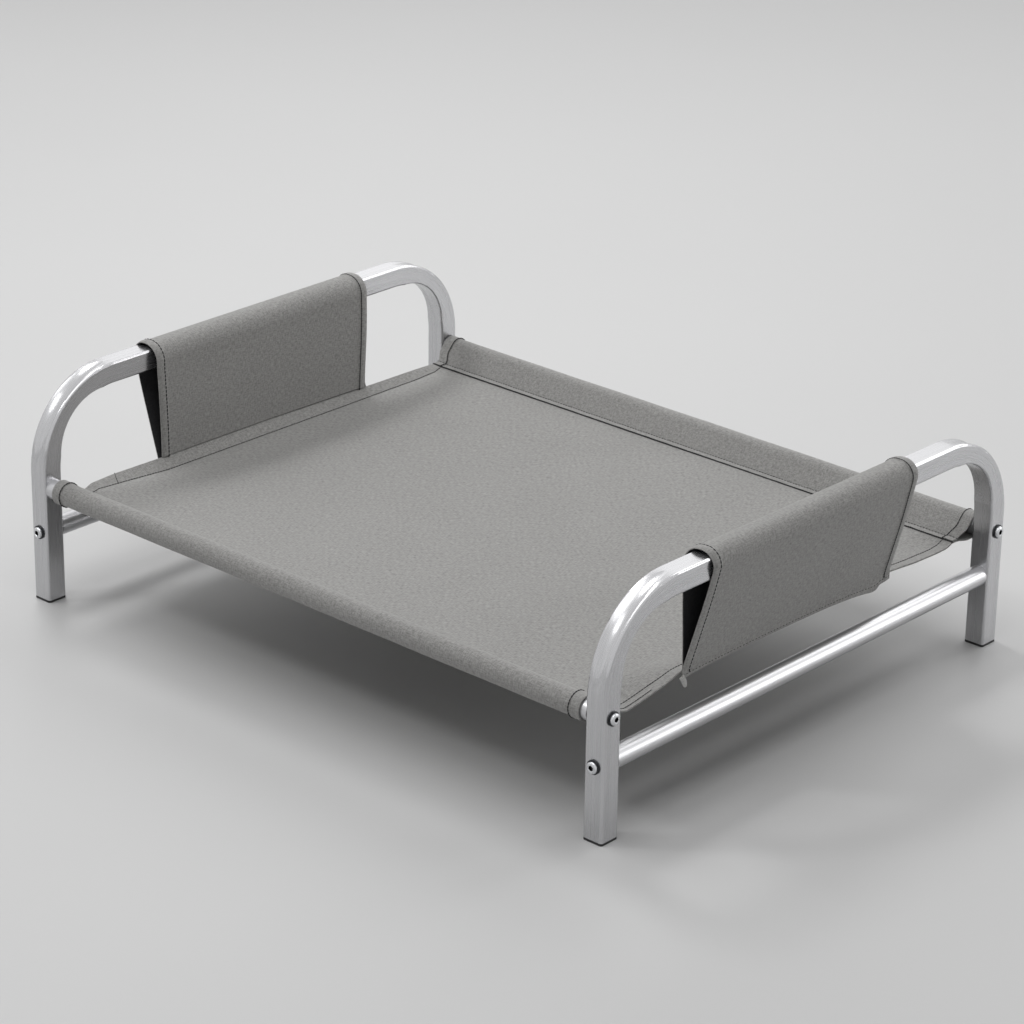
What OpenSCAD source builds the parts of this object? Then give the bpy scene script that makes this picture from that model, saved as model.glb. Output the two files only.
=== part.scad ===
// Raised dog cot: two bent square-tube hoops, two round rails that stretch a canvas bed,
// two crossbars and a canvas wrap over each hoop's top bar.
// Frame: millimetres, +Z up, floor at z = 0 under the middle of the cot,
// +X along the side rails, -Y is the front.

/* [Overall] */
// Distance between the two hoops, tube centre to tube centre
leg_span_x = 895; // [600:5:1200]
// Distance between the two legs of a hoop, tube centre to tube centre
leg_span_y = 695; // [520:5:900]
// Height of the top of the hoops
hoop_top = 284; // [260:1:400]
// Height of the side rails' axis
rail_height = 148; // [125:1:160]
// Height of the crossbars' axis
crossbar_height = 91; // [45:1:100]

/* [Hoop tube] */
// Outside width of the square tube
tube = 27; // [20:0.5:30]
// Wall of the square tube
tube_wall = 1.5; // [1:0.1:2.5]
// Outside corner radius of the square tube
tube_corner = 3; // [2:0.1:4]
// Bend radius on the tube's centre line
bend_r = 102; // [90:1:115]
// How far bending presses the inner wall into the tube
crush_depth = 6; // [2:0.5:8]
// Depth of the dish that bending leaves in the outer wall
dish_depth = 2.6; // [1:0.1:3]
// Radius of that dish across the tube
dish_r = 24; // [16:0.5:30]
// Half of the bend's angle over which the walls are pressed and dished
crush_half_angle = 40; // [30:1:42]

/* [Rails and crossbars] */
// Outside diameter of the side rails
rail_d = 25; // [20:0.5:30]
// Wall of the side rails
rail_wall = 1.2; // [1:0.1:2]
// Outside diameter of the crossbars
crossbar_d = 25; // [19:0.5:28]
// Wall of the crossbars
crossbar_wall = 1.2; // [1:0.1:2]

/* [End plugs] */
// Thickness of the flange between a tube's end and the leg
flange_t = 2.5; // [1.5:0.1:4]
// Length of the plug inside the tube
plug_len = 24; // [20:1:40]
// Length of the lead-in cone at the plug's tip
plug_lead = 2; // [1:0.5:4]
// Radial clearance of the plug in the tube
plug_clearance = 0.1; // [0.05:0.01:0.2]

/* [Bolts and washers] */
// Diameter of the bolts
bolt_d = 8; // [6:0.5:8]
// Diameter of the button heads
head_d = 14; // [12:0.5:16]
// Height of the button heads
head_h = 4.4; // [3:0.1:6]
// Width across flats of the hex sockets
socket_af = 5; // [4:0.5:6]
// Depth of the hex sockets
socket_depth = 2.6; // [1.5:0.1:2.8]
// How far a bolt reaches into its plug
bolt_reach = 18; // [12:1:19]
// Length of the cone at a bolt's tip
bolt_lead = 1; // [0.5:0.1:2]
// Outside diameter of the washers
washer_d = 17; // [16:0.5:18]
// Thickness of the washers
washer_t = 1.6; // [1:0.1:2.5]
// Radial clearance of a bolt in a leg and in a washer
hole_clearance = 0.25; // [0.15:0.01:0.5]
// Radial clearance of a bolt in its plug
thread_clearance = 0.05; // [0.03:0.01:0.1]

/* [Foot caps] */
// Thickness of the pad under a leg
cap_t = 3; // [2:0.5:8]
// Height of the cap's plug inside the leg
cap_plug = 18; // [10:1:25]
// Wall of the cap's plug
cap_wall = 2; // [1.5:0.1:3]
// Clearance between the cap's ribs and the tube on each side
cap_clearance = 0.1; // [0.05:0.01:0.3]
// Depth of the ribs round the cap's plug
cap_rib = 0.8; // [0.4:0.1:1.2]
// Number of ribs round the cap's plug
cap_ribs = 3; // [2:1:4]

/* [Bed sling] */
// Thickness of one layer of canvas
cloth_t = 1; // [0.6:0.1:1.5]
// Bare length of rail between a leg and the sling's end
bare_rail = 9; // [6:0.5:20]
// Radial clearance of the sleeves round the rails
sleeve_clearance = 0.4; // [0.3:0.05:1]
// Distance of a sleeve's sewn edge inward of the rail's axis
seam_in = 39; // [30:0.5:45]
// Width of the lap that is sewn down on the bed
seam_lap = 10; // [6:0.5:12]
// Space between the lap and the bed under it
lap_gap = 0.1; // [0.05:0.05:0.3]
// Width of the hems on the sling's short ends
hem_w = 18; // [12:1:30]
// How far the bed sags in the middle
sag = 9; // [0:0.5:15]

/* [Arm wraps] */
// Length of a wrap along the top bar
wrap_len = 368; // [300:1:400]
// How far the wraps sit towards the back
wrap_shift = -5; // [-15:1:15]
// Space between the tube and the wrap's inner panel
wrap_inner_gap = 9.5; // [6:0.5:15]
// Space between the tube's lower corner and the wrap's outer panel
wrap_outer_gap = 0.5; // [0.3:0.1:6]
// Height of the cloth's arch over the tube
wrap_rise = 5.5; // [3:0.5:12]
// Bend radius of the inner shoulder
wrap_shoulder = 8; // [6:0.5:16]
// Least clearance of a wrap from the tube and from the bed's hem
wrap_gap = 0.4; // [0.3:0.05:0.6]
// How far the outer panel's sewn edge lies over the bed's top face
wrap_seam_up = 2; // [1:0.5:6]
// Length of the outer panel's hem that hangs below that edge
wrap_tail = 8; // [6:1:15]
// Width of the hems on a wrap's two ends
wrap_hem = 12; // [8:1:20]

/* [Hidden] */
$fn = 48;
LEFT = -1;
RIGHT = 1;
FRONT = -1;
BACK = 1;
// Cut-through overrun of holes, so that no cut ends on a face
over = 1;
half_tube = tube / 2;
hoop_x = leg_span_x / 2;
leg_y = leg_span_y / 2;
bend_y = leg_y - bend_r;
bend_z = hoop_top - half_tube - bend_r;
leg_inner_x = hoop_x - half_tube;
leg_inner_y = leg_y - half_tube;
leg_outer_x = hoop_x + half_tube;
leg_outer_y = leg_y + half_tube;
hole_r = bolt_d / 2 + hole_clearance;
// The pressed inner wall is round a centre that lies off the bend's own, towards the corner
crush_off = crush_depth / (1 - cos(crush_half_angle));
press_r = bend_r - half_tube + crush_depth - crush_off;
// The dished outer wall is round a centre that lies off it the other way
dish_off = dish_depth / (1 - cos(crush_half_angle));
dish_ring = bend_r + half_tube - dish_depth + dish_off + dish_r;
// The dish is cut a little past the angle at which it runs out
dish_angle = 2 * crush_half_angle + 6;
// Widening of the press, so that its rounded corners cross the tube's sides and don't just touch them
press_ease = 0.6;
// Sleeves and bed, as a path of the canvas's rail-side face in the YZ plane
sleeve_steps = 12;
bed_steps = 8;
sleeve_r = (rail_d / 2 + sleeve_clearance) / cos(120 / sleeve_steps);
bed_z = rail_height - sleeve_r;
seam_y = leg_y - seam_in;
sling_x = leg_inner_x - bare_rail;
// Short step between the double and the single thickness at a hem's edge
hem_step = 0.5;
// Arm wrap, in offsets u outward from the hoop's plane and heights z
arc_steps = 8;
wrap_u_in = -half_tube - wrap_inner_gap;
wrap_crown = hoop_top + wrap_rise;
wrap_u_seam = sling_x - hoop_x + wrap_gap;

CORNERS = [
    ["front_left", LEFT, FRONT],
    ["front_right", RIGHT, FRONT],
    ["back_left", LEFT, BACK],
    ["back_right", RIGHT, BACK]
];
CORNER_PIECES = [
    "foot_cap",
    "rail_plug", "rail_washer", "rail_bolt",
    "crossbar_plug", "crossbar_washer", "crossbar_bolt"
];

// Path helpers
function reversed(list) = [for (i = [len(list) - 1 : -1 : 0]) list[i]];
function unit(v) = v / norm(v);
function left_of(v) = [-v[1], v[0]];
function polar(centre, r, angle) = centre + r * [cos(angle), sin(angle)];
function arc(centre, r, from, to, steps) =
    [for (i = [0 : steps]) polar(centre, r, from + (to - from) * i / steps)];
// Direction from a path's point i towards a point of the face d to its left
function miter(path, i) =
    let (
        before = left_of(unit(path[max(i, 1)] - path[max(i, 1) - 1])),
        last = len(path) - 1,
        after = left_of(unit(path[min(i + 1, last)] - path[min(i, last - 1)]))
    )
    (before + after) / (1 + before * after);
function beside(path, d) = [for (i = [0 : len(path) - 1]) path[i] + d * miter(path, i)];
// Angle at a circle's centre of the point where a line from p touches it, on the given side
function touch_angle(centre, r, p, side) =
    let (v = p - centre)
    atan2(v[1], v[0]) + side * acos(r / norm(v));

// Square with rounded corners, wider along Y by the given amount
module rounded_square(side, r, wider = 0) {
    square([side - 2 * r, side + wider], center = true);
    square([side, side + wider - 2 * r], center = true);
    for (sx = [-1, 1], sy = [-1, 1])
        translate([sx * (side / 2 - r), sy * ((side + wider) / 2 - r)]) circle(r);
}

// The line of one hoop, swept with a square section, from height z0 up
module hoop_line(section, r, z0) {
    for (s = [FRONT, BACK]) {
        translate([0, s * leg_y, z0])
            linear_extrude(bend_z - z0) rounded_square(section, r);
        translate([0, s * bend_y, bend_z])
            rotate([90, 0, 90])
            rotate([0, 0, s == FRONT ? 90 : 0])
            rotate_extrude(angle = 90)
            translate([bend_r, 0]) rounded_square(section, r);
    }
    translate([0, -bend_y, hoop_top - half_tube])
        rotate([-90, 0, 0])
        linear_extrude(2 * bend_y) rounded_square(section, r);
}

// Places a ring about the centre of each bend, moved by off towards the corner, with X along the bend's middle
module at_bends(off) {
    shift = off * sqrt(0.5);
    for (s = [FRONT, BACK])
        translate([0, s * (bend_y + shift), bend_z + shift])
        rotate([90, 0, 90])
        rotate([0, 0, s == FRONT ? 135 : 45])
        children();
}

// What bending takes off the inner side of a section
module bend_press(section, r) {
    inner = press_r + (tube - section) / 2;
    at_bends(crush_off)
        rotate_extrude()
        difference() {
            translate([0, -tube]) square([inner + r, 2 * tube]);
            translate([inner + section / 2, 0]) rounded_square(section, r, press_ease);
        }
}

// What bending takes off the outer side
module bend_dish(r) {
    at_bends(-dish_off)
        rotate([0, 0, -dish_angle / 2])
        rotate_extrude(angle = dish_angle)
        translate([dish_ring, 0]) circle(r);
}

module end_hoop(side) {
    bore = tube - 2 * tube_wall;
    bore_corner = tube_corner - tube_wall / 2;
    color("silver")
    translate([side * hoop_x, 0, 0])
    difference() {
        hoop_line(tube, tube_corner, cap_t);
        difference() {
            hoop_line(bore, bore_corner, cap_t - over);
            bend_press(bore, bore_corner);
            bend_dish(dish_r + tube_wall);
        }
        bend_press(tube, tube_corner);
        bend_dish(dish_r);
        for (s = [FRONT, BACK]) {
            translate([0, s * leg_y, rail_height])
                rotate([0, 90, 0]) cylinder(r = hole_r, h = tube + 2 * over, center = true);
            translate([0, s * leg_y, crossbar_height])
                rotate([90, 0, 0]) cylinder(r = hole_r, h = tube + 2 * over, center = true);
        }
    }
}

// Round tube of the given length along Z, centred on the origin
module round_tube(d, wall, length) {
    difference() {
        cylinder(d = d, h = length, center = true);
        cylinder(d = d - 2 * wall, h = length + 2 * over, center = true);
    }
}

module side_rail(side) {
    color("gainsboro")
    translate([0, side * leg_y, rail_height])
    rotate([0, 90, 0])
    round_tube(rail_d, rail_wall, 2 * (leg_inner_x - flange_t));
}

module crossbar(side) {
    color("gainsboro")
    translate([side * hoop_x, 0, crossbar_height])
    rotate([90, 0, 0])
    round_tube(crossbar_d, crossbar_wall, 2 * (leg_inner_y - flange_t));
}

// Flanged threaded plug along +Z: its flange stands on z = 0
module end_plug(d, wall) {
    plug_r = d / 2 - wall - plug_clearance;
    color("darkgray")
    difference() {
        union() {
            cylinder(d = d, h = flange_t);
            cylinder(r = plug_r, h = flange_t + plug_len - plug_lead);
            translate([0, 0, flange_t + plug_len - plug_lead])
                cylinder(r1 = plug_r, r2 = plug_r - plug_lead / 2, h = plug_lead);
        }
        translate([0, 0, -over])
            cylinder(r = bolt_d / 2 + thread_clearance, h = flange_t + plug_len + 2 * over);
    }
}

// Washer on z = 0
module washer() {
    color("lightgray")
    difference() {
        cylinder(d = washer_d, h = washer_t);
        translate([0, 0, -over]) cylinder(r = hole_r, h = washer_t + 2 * over);
    }
}

// Button-head bolt: its head stands on the washer, its shank runs along -Z through the leg into the plug
module bolt() {
    shank = washer_t + tube + flange_t + bolt_reach;
    dome_r = (pow(head_d / 2, 2) + pow(head_h, 2)) / (2 * head_h);
    color("whitesmoke")
    translate([0, 0, washer_t])
    difference() {
        union() {
            intersection() {
                cylinder(d = head_d, h = head_h - head_h / 20);
                translate([0, 0, head_h - dome_r]) sphere(dome_r);
            }
            translate([0, 0, bolt_lead - shank]) cylinder(d = bolt_d, h = shank - bolt_lead + over);
            translate([0, 0, -shank]) cylinder(d1 = bolt_d - bolt_lead, d2 = bolt_d, h = bolt_lead);
        }
        translate([0, 0, head_h - socket_depth])
            cylinder(d = socket_af / cos(30), h = head_h, $fn = 6);
    }
}

// Places what stands on a leg's outer face at a rail, with +Z pointing away from the cot
module at_rail_outside(sx, sy) {
    translate([sx * leg_outer_x, sy * leg_y, rail_height])
        rotate([0, sx * 90, 0]) children();
}

// Places what stands on a leg's inner face at a rail, with +Z pointing along the rail
module at_rail_inside(sx, sy) {
    translate([sx * leg_inner_x, sy * leg_y, rail_height])
        rotate([0, -sx * 90, 0]) children();
}

module at_crossbar_outside(sx, sy) {
    translate([sx * hoop_x, sy * leg_outer_y, crossbar_height])
        rotate([-sy * 90, 0, 0]) children();
}

module at_crossbar_inside(sx, sy) {
    translate([sx * hoop_x, sy * leg_inner_y, crossbar_height])
        rotate([sy * 90, 0, 0]) children();
}

// Foot cap: a pad as wide as the tube and a hollow ribbed plug inside the leg
module foot_cap(sx, sy) {
    bore = tube - 2 * tube_wall;
    rib_side = bore - 2 * cap_clearance;
    core_side = rib_side - 2 * cap_rib;
    rib_corner = tube_corner - tube_wall / 2;
    pitch = cap_plug / (cap_ribs + 0.5);
    color("dimgray")
    translate([sx * hoop_x, sy * leg_y, 0])
    difference() {
        union() {
            linear_extrude(cap_t) rounded_square(tube, tube_corner);
            translate([0, 0, cap_t / 2])
                linear_extrude(cap_t / 2 + cap_plug) rounded_square(core_side, rib_corner);
            for (i = [1 : cap_ribs])
                translate([0, 0, cap_t + (i - 0.25) * pitch])
                linear_extrude(pitch / 2) rounded_square(rib_side, rib_corner);
        }
        translate([0, 0, cap_t])
            linear_extrude(cap_plug + over) square(core_side - 2 * cap_wall, center = true);
    }
}

// The front half of the canvas's path: the sewn lap, up to the rail, round it and under it
function sleeve_path() =
    let (
        axis = [-leg_y, rail_height],
        lap_z = bed_z + lap_gap,
        lap_end = [-seam_y - seam_lap, lap_z],
        start = touch_angle(axis, sleeve_r, lap_end, 1)
    )
    concat([[-seam_y, lap_z], lap_end], arc(axis, sleeve_r, start, 270, sleeve_steps));
function sling_path() =
    let (front = sleeve_path())
    concat(
        front,
        [for (i = [0 : bed_steps]) [seam_y * (2 * i / bed_steps - 1), bed_z]],
        [for (p = reversed(front)) [-p[0], p[1]]]
    );
// How far the bed hangs at a place: nothing at the sleeves' seams, nor at the short edges, which the wraps hold up
function sag_at(x, y) =
    abs(y) >= seam_y ? 0 : sag * min(1, (sling_x - abs(x)) / hem_w) * (1 - pow(y / seam_y, 2));
function sling_ring(path, x, layers) =
    [for (p = concat(path, reversed(beside(path, -layers * cloth_t)))) [x, p[0], p[1] - sag_at(x, p[0])]];

// One sheet of canvas, folded round both rails and laid back on itself, hemmed at its short ends
module bed_sling() {
    path = sling_path();
    inner_x = sling_x - hem_w;
    half = [[-sling_x, 2], [-inner_x, 2], [-inner_x + hem_step, 1], [-inner_x / 2, 1]];
    stations = concat(half, [for (s = reversed(half)) [-s[0], s[1]]]);
    n = len(path);
    ring = 2 * n;
    last = (len(stations) - 1) * ring;
    points = [for (s = stations) each sling_ring(path, s[0], s[1])];
    skin = [
        for (k = [0 : len(stations) - 2], i = [0 : ring - 1])
        let (a = k * ring + i, b = k * ring + (i + 1) % ring)
        each [[a, b, b + ring], [a, b + ring, a + ring]]
    ];
    ends = [
        for (i = [0 : n - 2])
        let (j = ring - 1 - i)
        each [
            [i, j, j - 1], [i, j - 1, i + 1],
            [last + i, last + j - 1, last + j], [last + i, last + i + 1, last + j - 1]
        ]
    ];
    color("gray") polyhedron(points, concat(skin, ends));
}

// A wrap's tube-side face: up the inner panel, over the tube, down to the seam and on to the hem
function wrap_path() =
    let (
        corner = [half_tube - tube_corner, hoop_top - tube_corner],
        low = [corner[0], hoop_top - tube + tube_corner],
        seam = [wrap_u_seam, bed_z + wrap_seam_up],
        // The outer panel is straight and passes the tube's lower corner
        r_low = tube_corner + wrap_outer_gap,
        leave = touch_angle(low, r_low, seam, 1),
        lean = (1 - sin(leave)) / cos(leave),
        a = (low * [cos(leave), sin(leave)] + r_low - sin(leave) * wrap_crown) / cos(leave) - corner[0],
        b = wrap_crown - corner[1],
        // The outer shoulder passes the tube's top corner at the least clearance
        g = tube_corner + wrap_gap,
        m = a * lean + b - g,
        r_out = (m + sqrt(m * m - lean * lean * (a * a + b * b - g * g))) / (lean * lean),
        c_out = [corner[0] + a - lean * r_out, wrap_crown - r_out],
        c_in = [wrap_u_in + wrap_shoulder, wrap_crown - wrap_shoulder]
    )
    concat(
        [[wrap_u_in, bed_z + wrap_gap]],
        arc(c_in, wrap_shoulder, 180, 90, arc_steps),
        arc(c_out, r_out, 90, leave, arc_steps),
        [seam, seam - [0, wrap_tail]]
    );

module wrap_band(layers, y0, length) {
    path = wrap_path();
    translate([0, y0 + length, 0])
        rotate([90, 0, 0])
        linear_extrude(length)
        polygon(concat(path, reversed(beside(path, layers * cloth_t))));
}

module arm_wrap(side) {
    y0 = wrap_shift - wrap_len / 2;
    color("gray")
    mirror([side == LEFT ? 1 : 0, 0, 0])
    translate([hoop_x, 0, 0]) {
        wrap_band(2, y0, wrap_hem);
        wrap_band(1, y0 + wrap_hem, wrap_len - 2 * wrap_hem);
        wrap_band(2, y0 + wrap_len - wrap_hem, wrap_hem);
    }
}

end_hoop(LEFT);  // left_end_hoop
end_hoop(RIGHT);  // right_end_hoop
side_rail(FRONT);  // front_side_rail
side_rail(BACK);  // back_side_rail
crossbar(LEFT);  // left_crossbar
crossbar(RIGHT);  // right_crossbar
for (c = CORNERS) {
    foot_cap(c[1], c[2]);
    at_rail_inside(c[1], c[2]) end_plug(rail_d, rail_wall);
    at_rail_outside(c[1], c[2]) washer();
    at_rail_outside(c[1], c[2]) bolt();
    at_crossbar_inside(c[1], c[2]) end_plug(crossbar_d, crossbar_wall);
    at_crossbar_outside(c[1], c[2]) washer();
    at_crossbar_outside(c[1], c[2]) bolt();
}
bed_sling();
arm_wrap(LEFT);  // left_arm_wrap
arm_wrap(RIGHT);  // right_arm_wrap
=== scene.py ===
"""Raised dog cot in a plain studio: canvas, thread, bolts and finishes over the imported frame.

The frame's solids carry the metal and plastic pieces. This script makes the cloth (the bed with its sleeves
and hems, and the two arm wraps), the sewing thread and the bolts with open sockets. Sizes are in millimetres
in the classes and in metres in the meshes. +X runs along the side rails, -Y is the front and +Z is up.
"""

from __future__ import annotations

import logging
import math
from dataclasses import dataclass
from enum import Enum

import bmesh
import bpy
import numpy as np
from bpy.types import Material, Mesh, Node, NodeSocket, NodeTree, Object
from mathutils import Matrix, Vector

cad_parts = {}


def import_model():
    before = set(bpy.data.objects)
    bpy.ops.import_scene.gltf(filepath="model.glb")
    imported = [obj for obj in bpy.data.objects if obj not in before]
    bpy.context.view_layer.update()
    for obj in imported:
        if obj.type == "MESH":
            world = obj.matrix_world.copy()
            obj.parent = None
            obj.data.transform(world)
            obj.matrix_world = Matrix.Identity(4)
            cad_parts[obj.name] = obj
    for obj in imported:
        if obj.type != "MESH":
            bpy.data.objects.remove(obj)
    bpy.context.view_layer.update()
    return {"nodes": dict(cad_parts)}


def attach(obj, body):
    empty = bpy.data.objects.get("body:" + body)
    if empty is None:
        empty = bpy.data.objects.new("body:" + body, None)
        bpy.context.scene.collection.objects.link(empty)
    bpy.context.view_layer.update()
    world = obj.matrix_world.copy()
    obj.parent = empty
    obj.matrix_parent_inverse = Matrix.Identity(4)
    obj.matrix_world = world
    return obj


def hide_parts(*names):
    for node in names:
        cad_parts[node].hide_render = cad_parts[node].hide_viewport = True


MM = 0.001
BODY = "root"
CLOTH_UV = "cloth"
CLOTH_NODES = ("bed_sling", "left_arm_wrap", "right_arm_wrap")
# Nearly all values of a noise texture lie in this range
NOISE_RANGE = (0.3, 0.7)
# A wave texture of scale 1 repeats after this length
WAVE_LENGTH = math.pi / 10
LOG = logging.getLogger("dog_cot")


class Side(Enum):
    """The two ends of the cot, as the sign of X."""

    LEFT = -1
    RIGHT = 1


class Grain(Enum):
    """The way that brushing runs on a metal piece."""

    ALONG_X = "x"
    ALONG_Y = "y"
    ALONG_HOOP = "hoop"


class Stitch(Enum):
    """Kinds of seam: step between stitches, length of a stitch and half its thickness, in millimetres."""

    BED_HEM = (4.4, 4.3, 0.6)
    SLEEVE_END = (4.0, 4.6, 0.8)
    # Not stitches: a dark line of beads along each lap's edge that paints the shadow gap under the lap
    LAP_SHADOW_LINE = (3.2, 3.8, 1.15)
    LAP_TOP = (4.4, 3.6, 0.5)
    TURNED_EDGE = (4.0, 4.4, 0.6)
    HEM_FOLD = (2.6, 2.8, 0.5)
    # The end hems' rows are drawn far thicker than thread, so they also paint the shade in the hem's groove
    WRAP_FRONT = (5.0, 4.7, 1.2)
    WRAP_BACK = (3.4, 5.0, 1.15)
    WRAP_FOOT = (5.4, 3.4, 0.4)


def linear(code: str) -> tuple[float, float, float, float]:
    """Turns an sRGB hex colour into linear light.

    Args:
        code: Colour such as "#8C8C8E".

    Returns:
        Red, green, blue and an alpha of 1.
    """
    parts = [int(code[i : i + 2], 16) / 255 for i in (1, 3, 5)]
    return (*[c / 12.92 if c <= 0.04045 else ((c + 0.055) / 1.055) ** 2.4 for c in parts], 1.0)


def feed(tree: NodeTree, node: Node, inputs: dict[int | str, object]) -> None:
    """Sets a node's inputs to values or links them to output sockets.

    Args:
        tree: The node's tree.
        node: The node.
        inputs: Values or output sockets, by the input socket's name or number.
    """
    for key, value in inputs.items():
        if isinstance(value, NodeSocket):
            tree.links.new(value, node.inputs[key])
        else:
            node.inputs[key].default_value = value


def add_node(
    tree: NodeTree,
    kind: str,
    inputs: dict[int | str, object] | None = None,
    stops: tuple[tuple[float, str], ...] = (),
    **settings: object,
) -> bpy.types.bpy_prop_collection:
    """Adds a node with its settings, values and links.

    Args:
        tree: Node tree that gets the node.
        kind: The node's type name.
        inputs: Values or output sockets, by the input socket's name or number.
        stops: Places and hex colours, where the node is a colour ramp.
        settings: Other properties of the node.

    Returns:
        The new node's output sockets.
    """
    node = tree.nodes.new(kind)
    for name, value in settings.items():
        setattr(node, name, value)
    for number, (place, code) in enumerate(stops):
        node.color_ramp.elements[number].position = place
        node.color_ramp.elements[number].color = linear(code)
    feed(tree, node, inputs or {})
    return node.outputs


def new_material(name: str) -> tuple[Material, NodeTree, Node]:
    """Makes a node material with a Principled surface.

    Args:
        name: Name of the real material.

    Returns:
        The material, its tree and its Principled node.
    """
    material = bpy.data.materials.new(name)
    material.use_nodes = True
    tree = material.node_tree
    return material, tree, tree.nodes["Principled BSDF"]


def show(name: str, data: bpy.types.ID) -> Object:
    """Puts a mesh, lamp or camera into the scene.

    Args:
        name: Name of the object.
        data: What it shows.

    Returns:
        The object, at the origin.
    """
    shown = bpy.data.objects.new(name, data)
    bpy.context.scene.collection.objects.link(shown)
    return shown


def shade_smooth(mesh: Mesh, slots: np.ndarray, sharp_from: float) -> None:
    """Sets the faces' material slots and shades them smooth, apart from sharp edges.

    Args:
        mesh: The mesh.
        slots: Number of the material slot of each face.
        sharp_from: Angle between faces from which an edge is sharp, in degrees.
    """
    mesh.polygons.foreach_set("material_index", slots)
    mesh.polygons.foreach_set("use_smooth", np.ones(len(slots), bool))
    mesh.set_sharp_from_angle(angle=math.radians(sharp_from))


def smooth(t: np.ndarray | float) -> np.ndarray:
    """Eases from 0 to 1 as t goes from 0 to 1."""
    t = np.clip(t, 0.0, 1.0)
    return t * t * (3 - 2 * t)


def unit(vectors: np.ndarray) -> np.ndarray:
    """Vectors of the same directions and of length 1."""
    return vectors / np.linalg.norm(vectors, axis=-1, keepdims=True)


def arc(centre: tuple[float, float], radius: float, start: float, end: float, steps: int) -> np.ndarray:
    """Points on an arc.

    Args:
        centre: Centre of the circle.
        radius: Its radius.
        start: First angle in degrees.
        end: Last angle in degrees.
        steps: Number of spans.

    Returns:
        Points as rows of two.
    """
    angles = np.radians(np.linspace(start, end, steps + 1))
    return np.asarray(centre) + radius * np.stack([np.cos(angles), np.sin(angles)], -1)


def run(a: tuple[float, float], b: tuple[float, float], steps: int) -> np.ndarray:
    """Points on a straight line from a to b, without b.

    Args:
        a: First point.
        b: Last point, which is left out.
        steps: Number of spans.

    Returns:
        Points as rows of two.
    """
    t = np.linspace(0, 1, steps, endpoint=False)[:, None]
    return np.asarray(a) * (1 - t) + np.asarray(b) * t


def touch_angle(centre: tuple[float, float], radius: float, point: tuple[float, float]) -> float:
    """Angle at which a line from a point touches a circle, on the anticlockwise side.

    Args:
        centre: Centre of the circle.
        radius: Its radius.
        point: A point outside it.

    Returns:
        The angle at the circle's centre in degrees.
    """
    dx, dy = point[0] - centre[0], point[1] - centre[1]
    return math.degrees(math.atan2(dy, dx) + math.acos(radius / math.hypot(dx, dy)))


def left_normals(path: np.ndarray) -> np.ndarray:
    """Unit normals to the left of a path's direction, one for each point."""
    step = np.gradient(path, axis=0)
    return unit(np.stack([-step[:, 1], step[:, 0]], -1))


def distance_along(path: np.ndarray) -> np.ndarray:
    """Distance of each point from a path's first point."""
    return np.concatenate([[0.0], np.cumsum(np.linalg.norm(np.diff(path, axis=0), axis=1))])


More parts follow.
